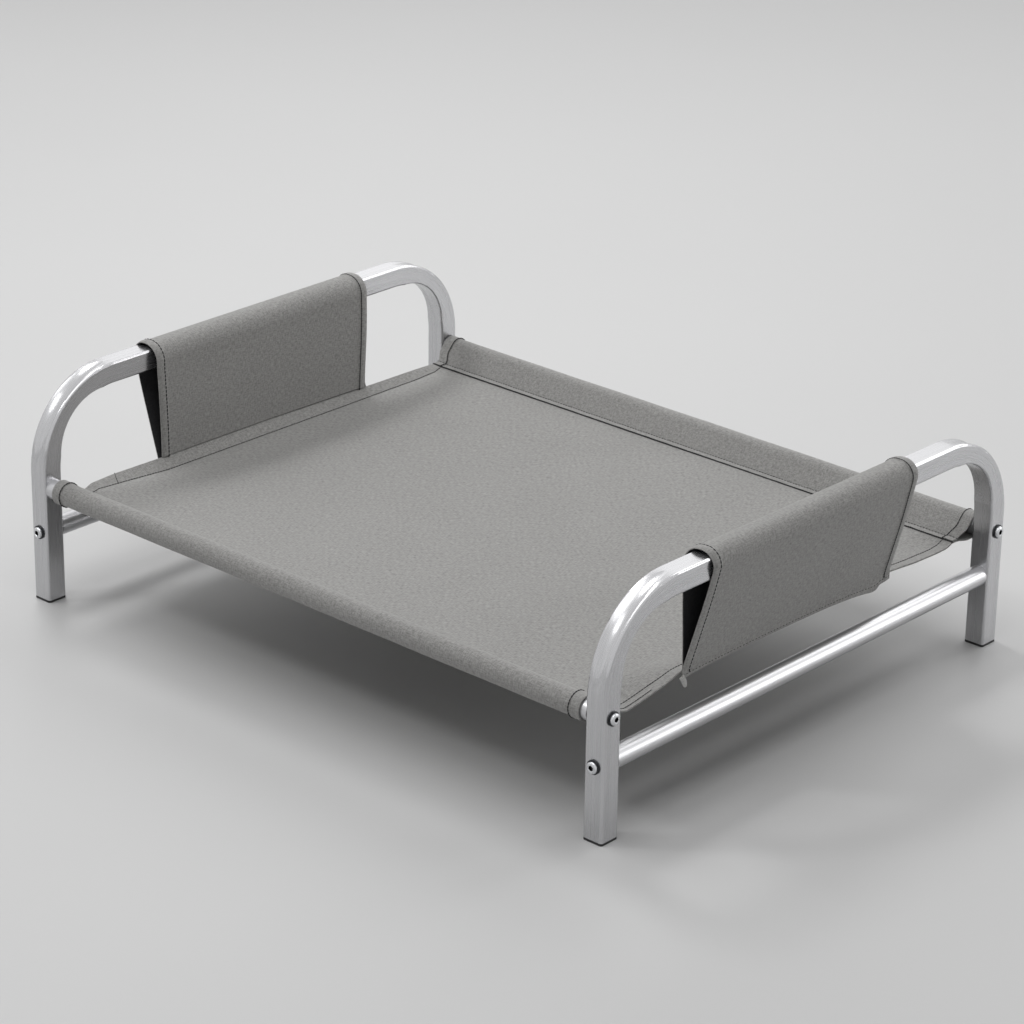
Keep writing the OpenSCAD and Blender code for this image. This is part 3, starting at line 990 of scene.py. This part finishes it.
    def rows(self, near: np.ndarray, far: np.ndarray) -> list[StitchRow]:
        """Lays out the bed's stitch rows.

        Args:
            near: Points of the near face.
            far: Points of the far face.

        Returns:
            Rows along both hems, round the sleeves' ends, along both laps and at the corners in front; the
            row at each lap's edge is a painted shadow line.
        """
        _, first, last = self.section()
        xs = self.stations()
        up = np.array([0, 0, self.proud])
        inward = unit(near - far)
        rows = []
        for side in Side:
            sewn = side.value * (self.half_length - self.hem + self.sewn_in)
            at = int(np.argmin(np.abs(xs - sewn)))
            rows.append(StitchRow(near[at, first : last + 1] + up, Stitch.BED_HEM))
            for end in (slice(0, first + 1), slice(last, None)):
                rows.append(StitchRow(far[at, end] - self.proud * inward[at, end], Stitch.SLEEVE_END))
        inside = slice(1, -1)
        # A dark line lies along each lap's edge, just outside it, and paints the shadow gap under the lap;
        # one row of stitches lies on top of the lap
        for lip, on_lap, toward_middle in ((0, self.lap_spans - 1, 1), (-1, -self.lap_spans, -1)):
            edge = near[inside, lip] + [0, toward_middle * self.lip_out, self.lip_proud]
            rows.append(StitchRow(edge, Stitch.LAP_SHADOW_LINE))
            top = far[inside, on_lap] - self.lap_proud * inward[inside, on_lap]
            rows.append(StitchRow(top, Stitch.LAP_TOP))
        # A second row holds the right hem's turned edge beside the front sleeve
        at = int(np.argmin(np.abs(xs - self.half_length + self.turned_in)))
        rows.append(StitchRow(near[at, first : first + self.turned_points] + up, Stitch.TURNED_EDGE))
        # A short row crosses the left hem where its cloth is folded
        t = np.linspace(0, 1, 8)
        x, y = -self.half_length + t * self.hem, self.fold_y - t * self.fold_slant
        fold = np.stack([x, y, self.level + self.fold_proud - self.drop(x, y)], -1)
        rows.append(StitchRow(fold, Stitch.HEM_FOLD))
        return rows

    def build(self, canvas: Material, stitches: StitchTree) -> tuple[Object, Object]:
        """Args:
            canvas: Finish of the cloth.
            stitches: Tree that sews the rows.

        Returns:
            The cloth and the thread.
        """
        near, far, flat = self.surfaces()
        cloth = ThickSheet("bed_canvas", near, far, flat).build(canvas, canvas)
        thread = stitches.sew("bed_stitches_and_shadow_lines", self.rows(near, far))
        for piece in (cloth, thread):
            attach(piece, BODY)
        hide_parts("bed_sling")
        return cloth, thread


@dataclass
class ArmWrap:
    """A wrap over one hoop's top bar: up from the bed's hem, over the tube and down outside.

    Lengths are in millimetres. The section is drawn in distances outward from the hoop's plane and heights.
    """

    side: Side
    hoop_x: float = 447.5
    half_tube: float = 13.5
    tube_corner: float = 3.0
    hoop_top: float = 284.0
    inner_gap: float = 9.5
    outer_gap: float = 0.5
    rise: float = 4.8
    shoulder: float = 20.0
    gap: float = 0.4
    bed_level: float = 135.0
    bed_edge: float = 425.0
    edge_lift: float = 2.0
    seam_up: float = 3.5
    seam_tail: float = 10.0
    cloth: float = 1.0
    hem: float = 10.0
    hem_lip: float = 3.0
    hem_step: float = 1.2
    hem_extra: float = 1.2
    thin_edge: float = 0.45
    thin_over: float = 4.0
    tail_extra: float = 0.8
    stitch_in: float = 0.8
    groove_depth: float = 0.7
    groove_width: float = 0.7
    hem_proud: float = 0.1
    foot_proud: float = 0.05
    foot_taper: float = 0.021
    belly: float = 0.9
    sway: float = 0.55
    inner_spans: int = 34
    shoulder_spans: int = 14
    top_spans: int = 4
    crown_spans: int = 22
    outer_spans: int = 36
    tail_spans: int = 7

    # Front and back ends at the top bar
    ENDS = {Side.LEFT: (-184.5, 180.0), Side.RIGHT: (-193.0, 172.0)}
    # How far the inner panel's foot is lifted at the front end, in the middle and at the back end
    FOOT_LIFT = {Side.LEFT: (6.4, 6.0, 2.8), Side.RIGHT: (0.0, 0.0, 0.0)}
    # How far the outer panel slants backward on its way down, at the front end and at the back end
    SLANT = {Side.LEFT: (0.0, 0.0), Side.RIGHT: (0.5, 10.0)}
    # Places along the wrap with heights of the outer panel's lower edge
    LOWER_EDGE = {
        Side.LEFT: ((0, 130.5),),
        Side.RIGHT: (
            (-193, 129.5), (-150, 131.5), (-60, 132), (0, 131.5), (60, 130), (99, 127.5), (122, 125),
            (139, 122), (147, 122), (153, 127), (172, 129.5),
        ),
    }
    # Ends of the hem tape that hangs out below the right wrap's front corner, its sizes and its form
    TAPE_TOP, TAPE_TIP = (427.2, -194.4, 133.2), (429.0, -188.9, 119.8)
    TAPE_LENGTH, TAPE_HALF, TAPE_THICK = 14.4, 3.6, (1.3, 0.0, 0.1)
    TAPE_ACROSS, TAPE_BOW, TAPE_CUP, TAPE_TAPER = (0.0, 0.92, 0.38), 0.9, 0.07, 0.45

    def section(self) -> tuple[np.ndarray, dict[str, int]]:
        """Draws the tube-side face from the inner panel's foot to the outer panel's hem.

        Returns:
            The path, and the numbers of its points at the top of the inner panel, at the start of the outer
            panel and at the seam.
        """
        corner = (self.half_tube - self.tube_corner, self.hoop_top - self.tube_corner)
        low = (corner[0], self.hoop_top - 2 * self.half_tube + self.tube_corner)
        u_in, crown = -self.half_tube - self.inner_gap, self.hoop_top + self.rise
        seam = (self.bed_edge - self.hoop_x + self.gap, self.bed_level + self.seam_up)
        # The outer panel is straight and passes the tube's lower corner; the crown's arc clears the upper one
        clear = self.tube_corner + self.outer_gap
        leave = touch_angle(low, clear, seam)
        across, up = math.cos(math.radians(leave)), math.sin(math.radians(leave))
        lean = (1 - up) / across
        a = (low[0] * across + low[1] * up + clear - up * crown) / across - corner[0]
        b, g = crown - corner[1], self.tube_corner + self.gap
        m = a * lean + b - g
        radius = (m + math.sqrt(m * m - lean * lean * (a * a + b * b - g * g))) / (lean * lean)
        c_out = (corner[0] + a - lean * radius, crown - radius)
        c_in = (u_in + self.shoulder, crown - self.shoulder)
        foot = (u_in, self.bed_level + self.gap + self.edge_lift)
        end = (seam[0], seam[1] - self.seam_tail)
        parts = [
            run(foot, (u_in, c_in[1]), self.inner_spans),
            arc(c_in, self.shoulder, 180, 90, self.shoulder_spans)[:-1],
            run((c_in[0], crown), (c_out[0], crown), self.top_spans),
            arc(c_out, radius, 90, leave, self.crown_spans)[:-1],
            run(tuple(arc(c_out, radius, leave, leave, 1)[0]), seam, self.outer_spans),
            run(seam, end, self.tail_spans),
            np.array([end]),
        ]
        ends = np.cumsum([len(p) for p in parts])
        marks = {"top": int(ends[0]), "outer": int(ends[3]), "seam": int(ends[4])}
        return np.concatenate(parts), marks

    def stations(self) -> np.ndarray:
        """Places along Y at which the section is set, close together at the hems."""
        y_from, y_to = self.ENDS[self.side]
        at_hem = self.hem + np.array([-0.9, -0.4, 0.1, self.stitch_in, 1.6, 2.6, 4])
        edge = np.concatenate([[0, 0.4, 1, 2, 4, 7], at_hem])
        middle = np.linspace(y_from + self.hem + 8, y_to - self.hem - 8, 58)
        return np.concatenate([y_from + edge, middle, (y_to - edge)[::-1]])

    def surfaces(self) -> tuple[np.ndarray, np.ndarray, np.ndarray]:
        """Sets the section along the top bar.

        Returns:
            Points of the tube-side face, points of the outer face and their places on the flat cloth.
        """
        path, marks = self.section()
        seam, top, outer = marks["seam"], marks["top"], marks["outer"]
        ys = self.stations()
        y_from, y_to = self.ENDS[self.side]
        middle = (y_from + y_to) / 2
        shape = (len(ys), len(path))
        y = np.broadcast_to(ys[:, None], shape).copy()
        u, z = (np.broadcast_to(path[:, i], shape).copy() for i in (0, 1))
        along = distance_along(path)
        # The outer panel's lower edge hangs lower towards the back and lifts at its end
        places, heights = np.array(self.LOWER_EDGE[self.side]).T
        share = (path[seam:, 1] - path[seam, 1]) / (path[-1, 1] - path[seam, 1])
        z[:, seam:] = path[seam, 1] + share * (np.interp(ys, places, heights)[:, None] - path[seam, 1])
        down = np.zeros(len(path))
        down[:top] = 1 - np.linspace(0, 1, top)
        y += (middle - y) * self.foot_taper * smooth(down)
        z += np.interp(ys, [y_from, 0, y_to], self.FOOT_LIFT[self.side])[:, None] * down
        slant = np.interp(ys, [y_from, y_to], self.SLANT[self.side])[:, None]
        y[:, outer:] += slant * np.clip((along[outer:] - along[outer]) / (along[seam] - along[outer]), 0, 1)
        # The panels belly out a little and sway
        swell = np.zeros(len(path))
        swell[:top] = np.sin(np.linspace(0, math.pi, top)) ** 1.3
        swell[outer:seam] = np.sin(np.linspace(0, math.pi, seam - outer))
        sway = np.sin(y / 57 + 0.6) * np.sin(z / 41 + y / 190) + 0.6 * np.sin(y / 31 - z / 23)
        normal = left_normals(path)
        push = swell * (self.belly + self.sway * sway)
        u += normal[:, 0] * push
        z += normal[:, 1] * push
        # The end hems are thicker, with a groove where the stitches draw them in, and thin out at the edge
        reach = np.minimum(ys - y_from, y_to - ys)[:, None]
        band = 1 + self.hem_extra * smooth((self.hem + self.hem_lip - reach) / self.hem_step)
        thinning = self.thin_edge + (1 - self.thin_edge) * smooth(reach / self.thin_over)
        off_stitch = (reach - self.hem - self.stitch_in) / self.groove_width
        thick = self.cloth * band * thinning - self.groove_depth * np.exp(-(off_stitch**2))
        below_seam = np.arange(len(path)) >= seam
        thick = np.maximum(thick, self.cloth * (1 + self.tail_extra * below_seam))
        near = np.stack([self.side.value * (self.hoop_x + u), y, z], -1)
        far = near + np.stack([self.side.value * normal[:, 0] * thick, 0 * y, normal[:, 1] * thick], -1)
        flat = np.stack([y, np.broadcast_to(along, shape)], -1)
        return near, far, flat

    def rows(self, near: np.ndarray, far: np.ndarray) -> list[StitchRow]:
        """Lays out the wrap's stitch rows.

        Args:
            near: Points of the tube-side face.
            far: Points of the outer face.

        Returns:
            Rows along both end hems and along the outer panel's lower hem.
        """
        _, marks = self.section()
        ys = self.stations()
        outward = unit(far - near)
        inset = self.hem + self.stitch_in
        y_from, y_to = self.ENDS[self.side]
        rows = []
        for place, stitch in ((y_from + inset, Stitch.WRAP_FRONT), (y_to - inset, Stitch.WRAP_BACK)):
            at = int(np.argmin(np.abs(ys - place))), slice(0, marks["seam"] + 3)
            rows.append(StitchRow(far[at] + self.hem_proud * outward[at], stitch))
        # The lower hem's row lies a little below the seam and stops short of the corners
        at = slice(3, -3), marks["seam"] + 4
        rows.append(StitchRow(far[at] + self.foot_proud * outward[at], Stitch.WRAP_FOOT))
        return rows

    def tape_end(self) -> ThickSheet:
        """Shapes the end of the hem's tape, which tapers and curls."""
        top, tip = np.array(self.TAPE_TOP), np.array(self.TAPE_TIP)
        t = np.linspace(0, 1, 9)[:, None, None]
        s = np.linspace(-self.TAPE_HALF, self.TAPE_HALF, 9)[None, :, None]
        across, outward = np.array(self.TAPE_ACROSS), np.array([1.0, 0.0, 0.0])
        curl = outward * (self.TAPE_BOW * np.sin(math.pi * t) - self.TAPE_CUP * s**2)
        near = top + (tip - top) * t + across * s * (1 - self.TAPE_TAPER * t**4) + curl
        far = near + self.TAPE_THICK
        flat = np.concatenate([self.TAPE_LENGTH * t + 0 * s, s + 0 * t], -1)
        return ThickSheet("right_wrap_tape_end", near, far, flat)

    def build(self, canvas: Material, hollow_shade: Material, stitches: StitchTree) -> tuple[Object, ...]:
        """Args:
            canvas: Finish of the outer face.
            hollow_shade: Finish of the tube-side face, a near-black canvas that paints the shade inside the
                wrap.
            stitches: Tree that sews the rows.

        Returns:
            The cloth, the thread and, at the right, the end of the hem's tape.
        """
        label = self.side.name.lower()
        near, far, flat = self.surfaces()
        cloth = ThickSheet(f"{label}_wrap_canvas", near, far, flat).build(canvas, hollow_shade)
        sewn = [stitches.sew(f"{label}_wrap_stitches_and_groove_shade", self.rows(near, far))]
        if self.side is Side.RIGHT:
            # The tape's end is a lighter copy of the canvas, which paints the light falling on it
            tape = HeatheredCanvas(name="hem_tape_painted_light", dark="#A6A5A3", light="#D6D5D3").material()
            sewn.append(self.tape_end().build(tape, tape))
        for piece in (cloth, *sewn):
            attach(piece, BODY)
        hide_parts(f"{label}_arm_wrap")
        return cloth, *sewn


@dataclass(frozen=True)
class SoftLamp:
    """A round softbox that looks at a point near the cot.

    Attributes:
        name: Name of the lamp.
        place: Where it stands, in metres.
        size: Its width, in metres.
        power: Its power in watts.
        mirrored: Whether metal shows it; the widest one would only leave a white patch on the bends.
        aim: The point it looks at.
    """

    name: str
    place: tuple[float, float, float]
    size: float
    power: float
    mirrored: bool = True
    aim: tuple[float, float, float] = (0.0, 0.0, 0.12)

    def build(self) -> None:
        """Makes the lamp."""
        light = bpy.data.lights.new(self.name, "AREA")
        light.shape = "DISK"
        light.size = self.size
        light.energy = self.power
        lamp = show(self.name, light)
        lamp.visible_glossy = self.mirrored
        lamp.location = self.place
        lamp.rotation_euler = (Vector(self.aim) - Vector(self.place)).to_track_quat("-Z", "Y").to_euler()


@dataclass(frozen=True)
class Studio:
    """The plain studio: floor, air, softboxes and the camera at the photograph's angle."""

    floor_half_m: float = 14.0
    air_colour: str = "#ECECEC"
    air_strength: float = 0.15
    lamps: tuple[SoftLamp, ...] = (
        SoftLamp("front_left_key", (-2.05, -2.3, 3.2), 0.7, 21.6),
        SoftLamp("back_left_key", (-2.25, 0.8, 3.2), 1.0, 27.0),
        SoftLamp("overhead_softbox", (0.3, -0.7, 3.1), 2.8, 33.5),
        SoftLamp("left_softbox", (-3.3, -0.7, 2.6), 3.6, 43.2, mirrored=False),
        SoftLamp("back_left_softbox", (-2.6, 2.9, 1.9), 2.4, 8.6),
        SoftLamp("back_softbox", (0.4, 3.4, 2.8), 2.8, 45.4),
        SoftLamp("back_right_softbox", (2.9, 3.0, 1.0), 2.0, 25.9),
    )
    focal_px: float = 3528.9
    image_px: float = 1024.0
    sensor_mm: float = 36.0
    clip_m: tuple[float, float] = (0.1, 100.0)
    eye_mm: tuple[float, float, float] = (2614.0, -2892.7, 1800.5)
    yaw: float = 42.115
    pitch: float = 23.055
    roll: float = 0.911

    def build(self) -> None:
        """Makes the floor, the air, the lamps and the camera."""
        self.lay_floor()
        self.fill_air()
        for lamp in self.lamps:
            lamp.build()
        self.set_camera()

    def lay_floor(self) -> None:
        """Lays a flat pale floor at z = 0."""
        h = self.floor_half_m
        mesh = bpy.data.meshes.new("studio_floor")
        mesh.from_pydata([(-h, -h, 0), (h, -h, 0), (h, h, 0), (-h, h, 0)], [], [(0, 1, 2, 3)])
        mesh.materials.append(StudioFloor().material())
        floor = show("studio_floor", mesh)

    def fill_air(self) -> None:
        """Fills the studio with soft light, and shows a pale grey to the camera and in reflections."""
        world = bpy.data.worlds.new("studio_air")
        world.use_nodes = True
        tree = world.node_tree
        tree.nodes.clear()
        path = add_node(tree, "ShaderNodeLightPath")
        seen = path["Is Camera Ray"]
        for ray in ("Is Glossy Ray", "Is Transmission Ray"):
            seen = add_node(tree, "ShaderNodeMath", {0: seen, 1: path[ray]}, operation="MAXIMUM")[0]
        fill = add_node(tree, "ShaderNodeBackground", {0: (1, 1, 1, 1), 1: self.air_strength})[0]
        shown = add_node(tree, "ShaderNodeBackground", {0: linear(self.air_colour), 1: 1.0})[0]
        mixed = add_node(tree, "ShaderNodeMixShader", {0: seen, 1: fill, 2: shown})[0]
        add_node(tree, "ShaderNodeOutputWorld", {0: mixed})
        bpy.context.scene.world = world
        bpy.context.scene.view_settings.view_transform = "Standard"

    def set_camera(self) -> None:
        """Sets the camera where the photograph was taken from."""
        yaw, pitch, roll = (math.radians(v) for v in (self.yaw, self.pitch, self.roll))
        ahead = Vector(
            (-math.sin(yaw) * math.cos(pitch), math.cos(yaw) * math.cos(pitch), -math.sin(pitch))
        )
        right = Vector((math.cos(yaw), math.sin(yaw), 0))
        up = right.cross(ahead)
        across = math.cos(roll) * right + math.sin(roll) * up
        upward = -math.sin(roll) * right + math.cos(roll) * up
        data = bpy.data.cameras.new("photo_camera")
        data.sensor_width = self.sensor_mm
        data.lens = self.focal_px / self.image_px * self.sensor_mm
        data.clip_start, data.clip_end = self.clip_m
        camera = show("photo_camera", data)
        turn = Matrix((across, upward, -ahead)).transposed().to_4x4()
        camera.matrix_world = Matrix.Translation(Vector(self.eye_mm) * MM) @ turn
        bpy.context.scene.camera = camera


def main() -> None:
    """Builds the studio and the cot in order and logs each piece that it makes."""
    logging.basicConfig(level=logging.INFO, format="%(name)s: %(message)s")
    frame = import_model()
    Studio().build()
    CotFrame().dress(frame["nodes"], skip=CLOTH_NODES)
    canvas = HeatheredCanvas().material()
    # The wraps' tube-side face is a near-black canvas that paints the shade inside their hollows
    hollow_shade = HeatheredCanvas(name="canvas_back_painted_shade", dark="#363638", light="#48484A", sheen=0.0).material()
    stitches = StitchTree(SewingThread().material())
    pieces = [*BedSling().build(canvas, stitches)]
    for side in Side:
        pieces += ArmWrap(side).build(canvas, hollow_shade, stitches)
    for piece in pieces:
        LOG.info("made %s with %d faces", piece.name, len(piece.data.polygons))


if __name__ == "__main__":
    main()
